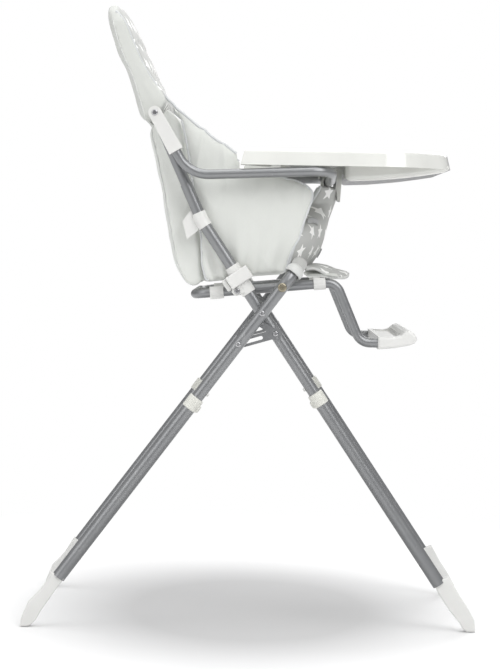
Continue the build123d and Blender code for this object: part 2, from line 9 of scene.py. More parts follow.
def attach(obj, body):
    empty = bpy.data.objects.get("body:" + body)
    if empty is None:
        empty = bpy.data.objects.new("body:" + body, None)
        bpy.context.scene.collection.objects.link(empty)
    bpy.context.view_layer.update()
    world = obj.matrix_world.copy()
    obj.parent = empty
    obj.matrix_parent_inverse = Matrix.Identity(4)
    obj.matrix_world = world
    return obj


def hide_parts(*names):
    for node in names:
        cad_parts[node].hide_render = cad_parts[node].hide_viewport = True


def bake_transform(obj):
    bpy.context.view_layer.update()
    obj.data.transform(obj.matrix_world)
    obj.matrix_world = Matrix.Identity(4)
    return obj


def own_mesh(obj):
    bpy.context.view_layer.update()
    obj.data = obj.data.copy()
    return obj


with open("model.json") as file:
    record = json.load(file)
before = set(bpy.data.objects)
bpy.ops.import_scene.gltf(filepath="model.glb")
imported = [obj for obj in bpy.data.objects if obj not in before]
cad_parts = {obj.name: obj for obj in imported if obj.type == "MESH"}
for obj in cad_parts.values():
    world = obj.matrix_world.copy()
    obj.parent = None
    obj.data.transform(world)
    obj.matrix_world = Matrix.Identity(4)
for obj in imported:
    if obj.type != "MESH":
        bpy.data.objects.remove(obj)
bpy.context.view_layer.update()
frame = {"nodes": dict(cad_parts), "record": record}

# A folding high chair: the CAD frame gets its materials, and its soft parts are made here.
# Metres, +Z up, the child faces -Y.  A side-view point is a pair (y, z).
MM = 0.001
FRONT, REAR, SEAT, ARM = "front_frame", "rear_frame", "seat_frame", "armrest"


# ======================= material helpers =======================
class Shader:
    """A node material with a Principled shader, and short ways to add nodes to it."""

    def __init__(self, name, colour, rough, metal=0.0):
        self.material = bpy.data.materials.new(name)
        self.material.use_nodes = True
        self.tree = self.material.node_tree
        self.main = self.tree.nodes["Principled BSDF"]
        self.main.inputs["Base Color"].default_value = (*colour, 1)
        self.main.inputs["Roughness"].default_value = rough
        self.main.inputs["Metallic"].default_value = metal
        self.material.diffuse_color = (*colour, 1)
        self.place = self.add("ShaderNodeTexCoord").outputs["Object"]

    def add(self, kind, **settings):
        node = self.tree.nodes.new(kind)
        for key, value in settings.items():
            setattr(node, key, value)
        return node

    def put(self, socket, value):
        if isinstance(value, bpy.types.NodeSocket):
            self.tree.links.new(value, socket)
        else:
            socket.default_value = value

    def math(self, operation, a, b=0.0, c=0.0, clamp=False):
        node = self.add("ShaderNodeMath", operation=operation, use_clamp=clamp)
        for socket, value in zip(node.inputs, (a, b, c)):
            self.put(socket, value)
        return node.outputs[0]

    def noise(self, scale, detail=2.0, vector=None, rough=0.5):
        node = self.add("ShaderNodeTexNoise")
        self.put(node.inputs["Vector"], vector or self.place)
        node.inputs["Scale"].default_value = scale
        node.inputs["Detail"].default_value = detail
        node.inputs["Roughness"].default_value = rough
        return node.outputs["Fac"]

    def stretch(self, scale):
        node = self.add("ShaderNodeMapping")
        self.put(node.inputs["Vector"], self.place)
        node.inputs["Scale"].default_value = scale
        return node.outputs["Vector"]

    def span(self, value, low, high, out_low, out_high):
        node = self.add("ShaderNodeMapRange")
        for socket, number in zip(node.inputs, (value, low, high, out_low, out_high)):
            self.put(socket, number)
        return node.outputs["Result"]

    def mix(self, factor, a, b):
        node = self.add("ShaderNodeMix", data_type="RGBA")
        self.put(node.inputs["Factor"], factor)
        for socket, value in ((node.inputs[6], a), (node.inputs[7], b)):
            self.put(socket, (*value, 1) if isinstance(value, tuple) else value)
        return node.outputs[2]

    def split(self, vector):
        node = self.add("ShaderNodeSeparateXYZ")
        self.put(node.inputs[0], vector)
        return node.outputs

    def bump(self, height, distance, strength=1.0):
        node = self.add("ShaderNodeBump")
        self.put(node.inputs["Height"], height)
        node.inputs["Distance"].default_value = distance
        node.inputs["Strength"].default_value = strength
        if self.main.inputs["Normal"].is_linked:
            self.put(node.inputs["Normal"], self.main.inputs["Normal"].links[0].from_socket)
        self.put(self.main.inputs["Normal"], node.outputs["Normal"])

    def colour(self, socket):
        self.put(self.main.inputs["Base Color"], socket)

    def rough(self, socket):
        self.put(self.main.inputs["Roughness"], socket)

    def fixed(self, **values):
        for name, value in values.items():
            self.main.inputs[name.replace("_", " ")].default_value = value


def weave(shader, pitch, depth):
    """A plain weave: crossed threads along each pair of axes."""
    step = 2 * pi / pitch
    axes = shader.split(shader.place)
    waves = [shader.math("SINE", shader.math("MULTIPLY", axis, step)) for axis in axes]
    crossed = None
    for a, b in ((0, 1), (1, 2), (2, 0)):
        product = shader.math("MULTIPLY", waves[a], waves[b])
        crossed = product if crossed is None else shader.math("ADD", crossed, product)
    slub = shader.noise(900.0, 1.0)
    shader.bump(shader.math("ADD", shader.math("MULTIPLY", crossed, 0.3), slub), depth, 0.55)


def tube_paint():
    """Satin silver-grey powder coat, with its orange peel and small rubs."""
    s = Shader("silver_tube", (0.24, 0.245, 0.25), 0.32, 0.7)
    cloud = s.noise(30.0, 3.0)
    rub = s.span(s.noise(160.0, 4.0, s.stretch((1, 1, 0.25))), 0.66, 0.74, 0.0, 1.0)
    base = s.mix(cloud, (0.225, 0.23, 0.238), (0.275, 0.28, 0.283))
    s.colour(s.mix(s.math("MULTIPLY", rub, 0.35), base, (0.52, 0.52, 0.52)))
    s.rough(s.span(s.noise(420.0, 2.0), 0.3, 0.7, 0.30, 0.42))
    s.bump(s.noise(1400.0, 1.0), 0.00005, 0.6)
    s.fixed(Coat_Weight=0.25, Coat_Roughness=0.18)
    return s.material


def moulded(name, colour, rough, grain, coat=0.0):
    """Moulded plastic, with a fine grain and a slight change of tone."""
    s = Shader(name, colour, rough)
    shade = tuple(c * 0.93 for c in colour)
    s.colour(s.mix(s.span(s.noise(14.0, 4.0), 0.35, 0.75, 0.0, 1.0), colour, shade))
    s.rough(s.span(s.noise(300.0, 3.0), 0.3, 0.7, rough - 0.05, rough + 0.08))
    s.bump(s.noise(grain, 2.0), 0.00008, 0.5)
    s.fixed(Coat_Weight=coat, Coat_Roughness=0.06, Subsurface_Weight=0.04)
    s.main.inputs["Subsurface Radius"].default_value = (0.003, 0.003, 0.003)
    return s.material


def plated(name, colour, rough):
    """A plated screw or bolt, with turning marks."""
    s = Shader(name, colour, rough, 1.0)
    s.rough(s.span(s.noise(700.0, 3.0), 0.3, 0.7, rough - 0.05, rough + 0.12))
    s.colour(s.mix(s.noise(240.0, 2.0), colour, tuple(c * 0.8 for c in colour)))
    s.bump(s.noise(1600.0, 1.0), 0.00003, 0.5)
    return s.material


def cloth_base(name, colour, rough=0.78):
    s = Shader(name, colour, rough)
    s.fixed(Sheen_Weight=0.25, Sheen_Roughness=0.5)
    return s


def plain_cloth(name, colour):
    """Wipe-clean woven cover: a fine weave, small creases and a slight change of tone."""
    s = cloth_base(name, colour)
    tone = s.mix(s.span(s.noise(9.0, 4.0), 0.3, 0.7, 0.0, 1.0), colour, tuple(c * 0.94 for c in colour))
    fleck = s.span(s.noise(1300.0, 1.0), 0.35, 0.65, 0.0, 0.10)
    s.colour(s.mix(fleck, tone, tuple(c * 0.7 for c in colour)))
    s.rough(s.span(s.noise(60.0, 2.0), 0.3, 0.7, 0.70, 0.84))
    weave(s, 0.0011, 0.00012)
    s.bump(s.noise(42.0, 3.0, s.stretch((1, 1, 0.45))), 0.0011, 0.5)
    return s.material


STAR_PITCH, STAR_RADII, STAR_BLUR = (0.048, 0.034), (0.0138, 0.0064), 0.0000015


def star_cloth(name, across, along, turn=0.0):
    """Grey cover printed with five-pointed white stars in staggered rows, laid out on two object axes."""
    s = cloth_base(name, (0.47, 0.475, 0.455))
    axes = s.split(s.place)
    pitch_u, pitch_v = STAR_PITCH
    outer, inner = STAR_RADII
    u = s.math("DIVIDE", axes[across], pitch_u)
    v = s.math("DIVIDE", axes[along], pitch_v)
    row = s.math("FLOOR", v)
    shift = s.math("MULTIPLY", s.math("MODULO", s.math("ABSOLUTE", row), 2.0), 0.5)
    u = s.math("ADD", u, shift)
    column = s.math("FLOOR", u)
    x = s.math("MULTIPLY", s.math("SUBTRACT", s.math("SUBTRACT", u, column), 0.5), pitch_u)
    y = s.math("MULTIPLY", s.math("SUBTRACT", s.math("SUBTRACT", v, row), 0.5), pitch_v)
    cell = s.add("ShaderNodeCombineXYZ")
    s.put(cell.inputs[0], column)
    s.put(cell.inputs[1], row)
    lot = s.add("ShaderNodeTexWhiteNoise", noise_dimensions="3D")
    s.put(lot.inputs["Vector"], cell.outputs[0])
    spin = s.math("ADD", s.math("MULTIPLY", lot.outputs["Value"], 0.5), turn)
    radius = s.math("SQRT", s.math("ADD", s.math("MULTIPLY", x, x), s.math("MULTIPLY", y, y)))
    angle = s.math("ADD", s.math("ARCTAN2", x, y), spin)
    fifth = 2 * pi / 5
    folded = s.math("PINGPONG", angle, fifth / 2)
    px = s.math("MULTIPLY", radius, s.math("COSINE", folded))
    py = s.math("MULTIPLY", radius, s.math("SINE", folded))
    bx, by = inner * cos(fifth / 2), inner * sin(fifth / 2)
    rise, run = s.math("MULTIPLY", py, bx - outer), s.math("MULTIPLY", s.math("SUBTRACT", px, outer), by)
    star = s.span(s.math("SUBTRACT", rise, run), -STAR_BLUR, STAR_BLUR, 0.0, 1.0)
    worn = s.span(s.noise(700.0, 2.0), 0.3, 0.8, 1.0, 0.86)
    ground = s.mix(s.noise(12.0, 4.0), (0.445, 0.45, 0.435), (0.50, 0.505, 0.485))
    s.colour(s.mix(s.math("MULTIPLY", star, worn), ground, (0.97, 0.97, 0.95)))
    weave(s, 0.0011, 0.00012)
    s.bump(s.noise(42.0, 3.0), 0.0011, 0.5)
    return s.material


def webbing_cloth():
    """Narrow woven webbing, with its diagonal twill ribs."""
    s = cloth_base("webbing", (0.36, 0.365, 0.365), 0.7)
    x, y, z = s.split(s.place)
    rib = s.math("SINE", s.math("MULTIPLY", s.math("ADD", s.math("ADD", x, y), z), 2 * pi / 0.0022))
    s.colour(s.mix(s.span(rib, -1.0, 1.0, 0.0, 1.0), (0.31, 0.315, 0.315), (0.42, 0.425, 0.425)))
    s.bump(rib, 0.00025, 0.6)
    s.bump(s.noise(1200.0, 1.0), 0.0001, 0.4)
    return s.material


def thread_cloth(name, colour):
    """Bias binding or thread: a tight slanted rib."""
    s = cloth_base(name, colour, 0.65)
    x, y, z = s.split(s.place)
    rib = s.math("SINE", s.math("MULTIPLY", s.math("ADD", s.math("SUBTRACT", x, y), z), 2 * pi / 0.0014))
    s.colour(s.mix(s.span(rib, -1.0, 1.0, 0.0, 1.0), tuple(c * 0.9 for c in colour), colour))
    s.bump(rib, 0.00015, 0.5)
    return s.material


TUBE = tube_paint()
PLASTIC = moulded("white_plastic", (0.71, 0.71, 0.69), 0.38, 900.0, 0.1)
COLLAR = moulded("collar_plastic", (0.66, 0.66, 0.61), 0.42, 900.0, 0.05)
TRAY = moulded("tray_plastic", (0.71, 0.715, 0.68), 0.14, 500.0, 0.8)
BUCKLE = moulded("buckle_plastic", (0.60, 0.61, 0.61), 0.35, 900.0)
RED = moulded("buckle_red", (0.62, 0.06, 0.05), 0.32, 900.0)
CHROME = plated("chrome_screws", (0.55, 0.55, 0.56), 0.18)
ZINC = plated("zinc_bolts", (0.40, 0.36, 0.27), 0.26)
SPRING = plated("spring_steel", (0.50, 0.50, 0.51), 0.34)
PALE = plain_cloth("seat_fabric", (0.70, 0.715, 0.68))
# Painted shade: the headrest's cloth is the pale seat cloth made darker, standing in for the shade that falls
# on the headrest.
HEAD_SHADED_CLOTH = plain_cloth("headrest_painted_shade_cloth", (0.60, 0.612, 0.582))
STAR_XZ = star_cloth("star_fabric_upright", 0, 2)
STAR_XY = star_cloth("star_fabric_flat", 0, 1, 0.3)
BINDING = thread_cloth("binding", (0.66, 0.675, 0.68))
PALE_BINDING = thread_cloth("pale_binding", (0.68, 0.69, 0.67))
THREAD = thread_cloth("stitching", (0.66, 0.675, 0.65))
WEBBING = webbing_cloth()


# ======================= the CAD nodes' materials =======================
BY_SLOT = {
    "silver_tube": TUBE, "white_plastic": PLASTIC, "tray_white": TRAY, "chrome_screws": CHROME,
    "zinc_bolts": ZINC, "spring_steel": SPRING, "button_plastic": PLASTIC, "buckle_plastic": BUCKLE,
    "buckle_red": RED, "webbing": WEBBING, "seat_fabric": PALE, "star_fabric": STAR_XZ,
}
for entry in frame["record"]["subparts"]:
    piece = frame["nodes"][entry["node"]]
    chosen = COLLAR if "collar" in entry["node"] else BY_SLOT[entry["material_slot"]]
    for position in range(max(1, len(piece.material_slots))):
        if not piece.material_slots:
            piece.data.materials.append(chosen)
        piece.material_slots[position].material = chosen


# ======================= mesh helpers =======================
def linked(name, mesh, material):
    piece = bpy.data.objects.new(name, mesh)
    bpy.context.scene.collection.objects.link(piece)
    mesh.materials.append(material)
    return piece


def smooth_shaded(mesh):
    for face in mesh.polygons:
        face.use_smooth = True


def baked(piece):
    """Takes the piece's modifiers into its mesh."""
    graph = bpy.context.evaluated_depsgraph_get()
    mesh = bpy.data.meshes.new_from_object(piece.evaluated_get(graph))
    piece.modifiers.clear()
    piece.data = mesh
    smooth_shaded(mesh)
    return piece


def prism(name, outline, x0, x1, material):
    """A closed block from a side-view outline in millimetres, between two x values in millimetres."""
    mesh = bpy.data.meshes.new(name)
    build = bmesh.new()
    near = [build.verts.new((x0 * MM, y * MM, z * MM)) for y, z in outline]
    far = [build.verts.new((x1 * MM, y * MM, z * MM)) for y, z in outline]
    build.faces.new(near)
    build.faces.new(far[::-1])
    count = len(outline)
    for i in range(count):
        j = (i + 1) % count
        build.faces.new((near[j], near[i], far[i], far[j]))
    bmesh.ops.recalc_face_normals(build, faces=build.faces)
    bmesh.ops.triangulate(build, faces=[f for f in build.faces if len(f.verts) > 4])
    build.to_mesh(mesh)
    build.free()
    return linked(name, mesh, material)


def remeshed(piece, voxel=0.005, smooth=4):
    """Gives the piece an even net of faces, with its sharp edges eased."""
    change = piece.modifiers.new("even", "REMESH")
    change.mode = "VOXEL"
    change.voxel_size = voxel
    ease = piece.modifiers.new("ease", "SMOOTH")
    ease.factor = 0.5
    ease.iterations = smooth
    return baked(piece)


def puffed(piece, cap, pressure=4.0):
    """Blows the piece up with a cloth simulation, in which no point may move further than the cap."""
    start = [v.co.copy() for v in piece.data.vertices]
    cloth = piece.modifiers.new("puff", "CLOTH")
    cloth.settings.use_pressure = True
    cloth.settings.uniform_pressure_force = pressure
    cloth.settings.effector_weights.gravity = 0.0
    cloth.settings.quality = 5
    cloth.point_cache.frame_start = 1
    cloth.point_cache.frame_end = 20
    for number in range(1, 21):
        bpy.context.scene.frame_set(number)
    graph = bpy.context.evaluated_depsgraph_get()
    moved = [v.co.copy() for v in piece.evaluated_get(graph).data.vertices]
    piece.modifiers.clear()
    bpy.context.scene.frame_set(1)
    drift = sum(((b - a) for a, b in zip(start, moved)), Vector()) / len(start)
    for vertex, a, b in zip(piece.data.vertices, start, moved):
        step = b - a - drift
        if step.length > cap:
            step *= cap / step.length
        vertex.co = a + step
    return piece


def subdivided(piece):
    more = piece.modifiers.new("finer", "SUBSURF")
    more.levels = 1
    more.render_levels = 1
    return baked(piece)


def worked(piece, move):
    """Moves each point by a vector that a function gives for its place and normal."""
    steps = [move(v.co, v.normal) for v in piece.data.vertices]
    for vertex, step in zip(piece.data.vertices, steps):
        vertex.co += step
    piece.data.update()
    return piece


def wrinkles(depth, scale, seed):
    """Soft creases, longer in height than in width."""
    def move(place, normal):
        point = Vector((place.x * scale[0] + seed, place.y * scale[1], place.z * scale[2]))
        ridge = 1.0 - abs(noise.noise(point)) * 2.0
        return normal * depth * (0.6 * noise.noise(point * 1.7) + 0.6 * (ridge ** 3) - 0.35)
    return move


def line_piece(name, points, radius, material, body, closed=False):
    """A round cord of fabric, such as piping or a stitch line, along the points."""
    curve = bpy.data.curves.new(name, "CURVE")
    curve.dimensions = "3D"
    curve.bevel_depth = radius
    curve.bevel_resolution = 3
    curve.use_fill_caps = True
    spline = curve.splines.new("NURBS")
    spline.points.add(len(points) - 1)
    for knot, point in zip(spline.points, points):
        knot.co = (*point, 1)
    spline.order_u = 3
    spline.use_endpoint_u = not closed
    spline.use_cyclic_u = closed
    curve.resolution_u = 4
    piece = bpy.data.objects.new(name, curve)
    bpy.context.scene.collection.objects.link(piece)
    curve.materials.append(material)
    made = bpy.data.meshes.new_from_object(piece)
    bpy.data.objects.remove(piece)
    mesh_piece = bpy.data.objects.new(name, made)
    bpy.context.scene.collection.objects.link(mesh_piece)
    smooth_shaded(made)
    if body:
        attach(mesh_piece, body)
    return mesh_piece


def dense(points, step):
    """The same run of points, with more between them, no further apart than the step."""
    run = []
    for a, b in zip(points, points[1:]):
        a, b = Vector(a), Vector(b)
        count = max(1, int((b - a).length / step + 0.999))
        run += [a.lerp(b, i / count) for i in range(count)]
    return run + [Vector(points[-1])]


def laid_on(target, points, lift):
    """Points moved onto the nearest surface of a piece, and lifted off it a little."""
    placed = []
    for point in points:
        found, spot, normal, _ = target.closest_point_on_mesh(Vector(point))
        placed.append(spot + normal * lift if found else Vector(point))
    return placed


def grid_piece(name, place, columns, rows, material, closed_u=False, thick=0.0, edge=0.16):
    """A padded sheet: place(u, v) gives its middle surface, and it thins out towards its border."""
    middle = [[Vector(place(i / columns, j / rows)) for i in range(columns + 1)] for j in range(rows + 1)]
    build = bmesh.new()
    sides = []
    for face_side in (1, -1):
        net = []
        for j in range(rows + 1):
            line = []
            for i in range(columns + 1):
                left = middle[j][(i - 1) % columns] if closed_u else middle[j][max(i - 1, 0)]
                right = middle[j][(i + 1) % columns] if closed_u else middle[j][min(i + 1, columns)]
                across = right - left
                up = middle[min(j + 1, rows)][i] - middle[max(j - 1, 0)][i]
                normal = across.cross(up).normalized()
                u, v = i / columns, j / rows
                rim = min(v, 1 - v) if closed_u else min(u, 1 - u, v, 1 - v)
                share = min(1.0, rim / edge)
                fill = (1 - (1 - share) ** 2) ** 0.5
                half = thick * (0.12 + 0.88 * fill) / 2
                line.append(build.verts.new(middle[j][i] + normal * face_side * half))
            net.append(line)
        sides.append(net)
    for net, flip in ((sides[0], False), (sides[1], True)):
        for j in range(rows):
            for i in range(columns):
                corners = [net[j][i], net[j][i + 1], net[j + 1][i + 1], net[j + 1][i]]
                build.faces.new(corners[::-1] if flip else corners)
    top, under = sides
    border = [(0, i) for i in range(columns)] + [(j, columns) for j in range(rows)]
    border += [(rows, i) for i in range(columns, 0, -1)] + [(j, 0) for j in range(rows, 0, -1)]
    for (a, b), (c, d) in zip(border, border[1:] + border[:1]):
        build.faces.new((top[c][d], top[a][b], under[a][b], under[c][d]))
    mesh = bpy.data.meshes.new(name)
    if closed_u:
        bmesh.ops.remove_doubles(build, verts=build.verts, dist=0.00002)
    bmesh.ops.recalc_face_normals(build, faces=build.faces)
    build.to_mesh(mesh)
    build.free()
    smooth_shaded(mesh)
    return linked(name, mesh, material)


def curve_at(points, t):
    """A point at a share t of a smooth line through side-view points, in metres."""
    place = min(max(t, 0.0), 1.0) * (len(points) - 1)
    k = min(int(place), len(points) - 2)
    f = place - k
    p = [points[min(max(k + i, 0), len(points) - 1)] for i in (-1, 0, 1, 2)]
    return tuple(
        MM * 0.5 * (2 * p[1][a] + (p[2][a] - p[0][a]) * f
                    + (2 * p[0][a] - 5 * p[1][a] + 4 * p[2][a] - p[3][a]) * f ** 2
                    + (3 * p[1][a] - p[0][a] - 3 * p[2][a] + p[3][a]) * f ** 3)
        for a in (0, 1)
    )


def mixed(a, b, t):
    return a + (b - a) * t


PIPING_R = 0.0019


# ======================= headrest cover =======================
HEAD_OUTLINE = [
    (152, 872), (161, 893), (171, 913), (182, 937), (192, 957), (209, 993), (225, 1025), (233, 1039),
    (241, 1044.5), (251, 1043), (255, 1035), (249, 1010), (232, 959), (216, 926), (200, 880), (188, 842),
    (180, 836), (166, 846),
]
HEAD_HALF, HEAD_BASE = 225.5, 872.0
HEAD_SLOPE, HEAD_FOOT, HEAD_MIDDLE = 2.578, 0.862, 0.1745
HEAD_FRONT_EDGE, HEAD_BACK_EDGE, HEAD_CHANNELS = 0.2135, 0.2235, (0.925, 0.975)


def ahead_of_middle(place):
    """How far a point of the headrest is behind its sloping middle plane; it is negative in front of it."""
    return place.y - HEAD_MIDDLE - (place.z - HEAD_FOOT) / HEAD_SLOPE


def headrest():
    piece = prism("headrest_cover", HEAD_OUTLINE, -HEAD_HALF, HEAD_HALF, HEAD_SHADED_CLOTH)
    piece = remeshed(piece, 0.0055, 3)

    def arch(place, normal):
        height = place.z - HEAD_BASE * MM
        if height <= 0:
            return Vector()
        share = abs(place.x) / (HEAD_HALF * MM)
        top = 1.0 - 0.05 * share ** 2 - 0.15 * max(0.0, (share - 0.80) / 0.20) ** 2.4
        drop = height * (top - 1.0)
        return Vector((0, drop / HEAD_SLOPE, drop))

    worked(piece, arch)
    puffed(piece, 0.0035)
    subdivided(piece)

    def crown(place, normal):
        ahead = min(0.0, ahead_of_middle(place))
        rise = min(max((place.z - 0.890) / 0.050, 0.0), 1.0)
        return Vector((0, -ahead * 0.36 * rise * min(1.0, abs(place.x) / 0.215) ** 4, 0))

    worked(piece, crown)

    def shape(place, normal):
        step = wrinkles(0.0016, (14, 14, 9), 3.0)(place, normal)
        seam = exp(-((abs(place.x) - 0.212) / 0.0035) ** 2) * (normal.y < -0.3)
        channel = sum(exp(-((place.z - z) / 0.005) ** 2) for z in HEAD_CHANNELS) * (abs(place.x) < 0.19)
        inward = 0.0022 * seam + 0.0030 * channel * (normal.y < -0.3)
        return step - normal * inward

    worked(piece, shape)
    piece.data.materials.append(STAR_XZ)
    for face in piece.data.polygons:
        if ahead_of_middle(face.center) < -0.004 and abs(face.center.x) < HEAD_FRONT_EDGE:
            face.material_index = 1
    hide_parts("head_cover")
    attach(piece, FRONT)
    for side, sign in (("right", -1), ("left", 1)):
        front = [(sign * HEAD_FRONT_EDGE, (y + 12) * MM, z * MM) for y, z in HEAD_OUTLINE[0:7]]
        front = laid_on(piece, dense(front, 0.012), 0.0006)
        edge = line_piece(f"headrest_piping_{side}", front, PIPING_R, BINDING, FRONT)
        back = [(sign * HEAD_BACK_EDGE, (y - 4) * MM, z * MM) for y, z in HEAD_OUTLINE[11:16]]
        back = laid_on(piece, dense(back, 0.012), 0.0004)
        rear = line_piece(f"headrest_rear_seam_{side}", back, 0.0011, THREAD, FRONT)
    hem = [(x * MM, 0.180, 0.838) for x in range(-206, 207, 12)]
    low = line_piece("headrest_hem", laid_on(piece, hem, 0.0004), 0.0013, THREAD, FRONT)


headrest()

# ======================= side panels =======================
SIDE_OUTLINE = [
    (166, 902), (150, 876), (128, 858), (95, 834), (61, 812), (31, 793), (29.5, 780), (29, 768), (0, 763),
    (-30, 757), (-57, 750), (-80, 742), (-98, 730), (-98, 717), (-90, 697), (-81, 674), (-74, 652),
    (-63, 628), (-55, 606), (-51, 593), (-20, 590), (20, 585), (52, 580), (76, 576), (85, 574), (87, 596),
    (91, 637), (97, 680), (105, 730), (114, 778), (127, 844), (150, 885),
]
SIDE_X, SIDE_THICK = 191.0, 8.0


def side_panel(side, sign):
    piece = prism(f"side_panel_{side}_cover", SIDE_OUTLINE, sign * SIDE_X - SIDE_THICK / 2,
                  sign * SIDE_X + SIDE_THICK / 2, PALE)
    remeshed(piece, 0.0045, 1)
    puffed(piece, 0.002, 3.0)
    subdivided(piece)

    def folds(place, normal):
        soft = wrinkles(0.0030, (6, 24, 7), 5.0 if sign > 0 else 9.0)(place, normal)
        fan = sin(atan2(place.y - 0.02, place.z - 0.50) * 26.0 + 3.0 * noise.noise(place * 9.0))
        low = max(0.0, 1.0 - (place.z - 0.575) / 0.16)
        across, up = min(max((place.y + 0.08) / 0.19, 0), 1), min(max((place.z - 0.575) / 0.2, 0), 1)
        belly = sin(pi * across) * sin(pi * up)
        return soft + normal * 0.0019 * fan * low + Vector((sign * 0.006 * belly, 0, 0))

    worked(piece, folds)
    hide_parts(f"side_panel_{side}")
    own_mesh(piece)
    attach(piece, FRONT)
    bound = (
        ("top", SIDE_OUTLINE[0:6], 0.0024), ("front", SIDE_OUTLINE[9:20], 0.0020),
        ("rear", SIDE_OUTLINE[23:31], 0.0020),
    )
    for part, run, radius in bound:
        points = dense([((sign * (SIDE_X + 1.5)) * MM, y * MM, z * MM) for y, z in run], 0.010)
        points = laid_on(piece, points, 0.0006)
        edge = line_piece(f"side_{part}_binding_{side}", points, radius, BINDING, None)
        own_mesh(edge)
        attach(edge, FRONT)


for side, sign in (("right", -1), ("left", 1)):
    side_panel(side, sign)

# ======================= back panel =======================
BACK_OUTLINE = [
    (128, 846), (150, 866), (168, 850), (180, 828), (174.5, 806), (169, 783), (158, 732), (150.5, 689),
    (141, 645), (134.5, 611), (127, 590), (116, 571), (103, 565.5), (90, 570), (87, 580), (88, 600),
    (92, 637), (98, 680), (107, 735), (115, 778),
]
BACK_HALF = 189.0
BACK_ROWS, BACK_LINE = (0.640, 0.690, 0.740, 0.790), 0.148


def back_panel():
    piece = prism("back_panel_cover", BACK_OUTLINE, -BACK_HALF, BACK_HALF, PALE)
    remeshed(piece, 0.0058, 3)
    puffed(piece, 0.0035)
    subdivided(piece)

    def quilt(place, normal):
        step = wrinkles(0.0018, (12, 12, 8), 1.0)(place, normal)
        facing = max(0.0, -normal.y)
        rows = sum(exp(-((place.z - z) / 0.0055) ** 2) for z in BACK_ROWS)
        lines = exp(-((abs(place.x) - BACK_LINE) / 0.0045) ** 2)
        inside = abs(place.x) < BACK_LINE + 0.002
        hollow = -0.006 * (1 - (place.x / 0.19) ** 2) * max(0.0, normal.y)
        return step - normal * facing * 0.0042 * (rows * inside + lines) + normal * hollow

    worked(piece, quilt)
    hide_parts("back_panel")
    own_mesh(piece)
    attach(piece, FRONT)
    for side, sign in (("right", -1), ("left", 1)):
        back = [(sign * (BACK_HALF - 2) * MM, y * MM, z * MM) for y, z in BACK_OUTLINE[3:13]]
        back = laid_on(piece, dense(back, 0.012), 0.0004)
        seam = line_piece(f"back_seam_{side}", back, 0.0012, THREAD, None)
        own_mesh(seam)
        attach(seam, FRONT)
    for number, z in enumerate(BACK_ROWS):
        front = [(x * MM, 0.02 + (z - 0.57) * 0.25, z) for x in range(-146, 147, 10)]
        front = laid_on(piece, front, -0.0002)
        stitch = line_piece(f"back_stitching_{number + 1}", front, 0.0009, THREAD, None)
        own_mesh(stitch)
        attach(stitch, FRONT)


back_panel()

# ======================= seat pad =======================
PAD_OUTLINE = [
    (94, 577), (52, 582), (0, 590), (-48, 593), (-60, 598), (-60, 610), (-44, 615), (0, 610), (60, 602),
    (92, 598),
]
PAD_HALF = 177.0


def seat_pad():
    piece = prism("seat_pad_cover", PAD_OUTLINE, -PAD_HALF, PAD_HALF, PALE)
    remeshed(piece, 0.005, 3)
    puffed(piece, 0.004)
    subdivided(piece)

    def quilt(place, normal):
        facing = max(0.0, normal.z)
        lines = exp(-((abs(place.x) - 0.120) / 0.0045) ** 2) + exp(-((place.y - 0.045) / 0.0045) ** 2)
        return wrinkles(0.0015, (14, 14, 14), 2.0)(place, normal) - normal * facing * 0.0035 * lines

    worked(piece, quilt)
    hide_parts("seat_pad")
    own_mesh(piece)
    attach(piece, SEAT)
    around = [(-PAD_HALF + 3, 85), (-PAD_HALF + 3, -55), (PAD_HALF - 3, -55), (PAD_HALF - 3, 85)]
    run = dense([(x * MM, y * MM, (600 - y * 0.11) * MM) for x, y in around], 0.010)
    edge = line_piece("seat_pad_piping", laid_on(piece, run, 0.0005), PIPING_R, BINDING, None)
    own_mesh(edge)
    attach(edge, SEAT)


seat_pad()

# ======================= seat flap =======================
FLAP_LINE = [(-84, 601), (-104, 605), (-122, 603.5), (-141, 597), (-161, 592)]
FLAP_HALF = 172.0


def flap_place(u, v):
    """Wavy at its front, as the edge of a sewn flap is."""
    y, z = curve_at(FLAP_LINE, v)
    x = (u * 2 - 1) * FLAP_HALF * MM * (1 - 0.10 * v ** 3)
    sag = -0.0050 * v * (0.5 + 0.5 * cos(x * 46.0)) - 0.003 * abs(u * 2 - 1) ** 4
    corner = 0.030 * abs(u * 2 - 1) ** 6 * v
    return (x, y + corner, z + sag + 0.0015 * noise.noise(Vector((x * 30, y * 30, 0))))


def seat_flap():
    piece = grid_piece("seat_flap_cover", flap_place, 120, 26, STAR_XY, thick=0.0065, edge=0.09)
    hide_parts("seat_flap")
    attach(piece, SEAT)
    rim = [flap_place(0, v / 12) for v in range(1, 12)] + [flap_place(u / 40, 1) for u in range(41)]
    rim += [flap_place(1, v / 12) for v in range(11, 0, -1)]
    edge = line_piece("seat_flap_binding", rim, 0.0024, PALE_BINDING, SEAT)
    under = [(-88, 589), (-108, 591), (-126, 590), (-140, 588.5)]

    def lining(u, v):
        y, z = curve_at(under, v)
        return ((u * 2 - 1) * 0.168, y, z + 0.001 * sin(u * 40))

    below = grid_piece("seat_flap_lining", lining, 60, 12, PALE, thick=0.007, edge=0.08)
    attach(below, SEAT)


seat_flap()

# ======================= crotch panel, its sleeve and its loop =======================
CROSS = (-74.4, 607.0)
SLEEVE_R, LEG_X, BEND_R = 12.6, 236.0, 42.0
REAR_LINE = radians(126.7)
MID_FRONT = [(-84, 598), (-95, 612), (-109, 636), (-119, 668), (-127, 698), (-134, 722), (-138, 742)]
MID_REAR = [(-58, 596), (-57, 612), (-66, 640), (-79, 670), (-86, 694), (-97, 718), (-110, 742)]


def panel_half(v):
    """Half the crotch panel's width: as wide as the sleeve at its foot, and narrow from a third up."""
    flare = min(max((0.80 - v) / 0.42, 0.0), 1.0)
    return 0.066 + 0.124 * flare * flare * (3 - 2 * flare)


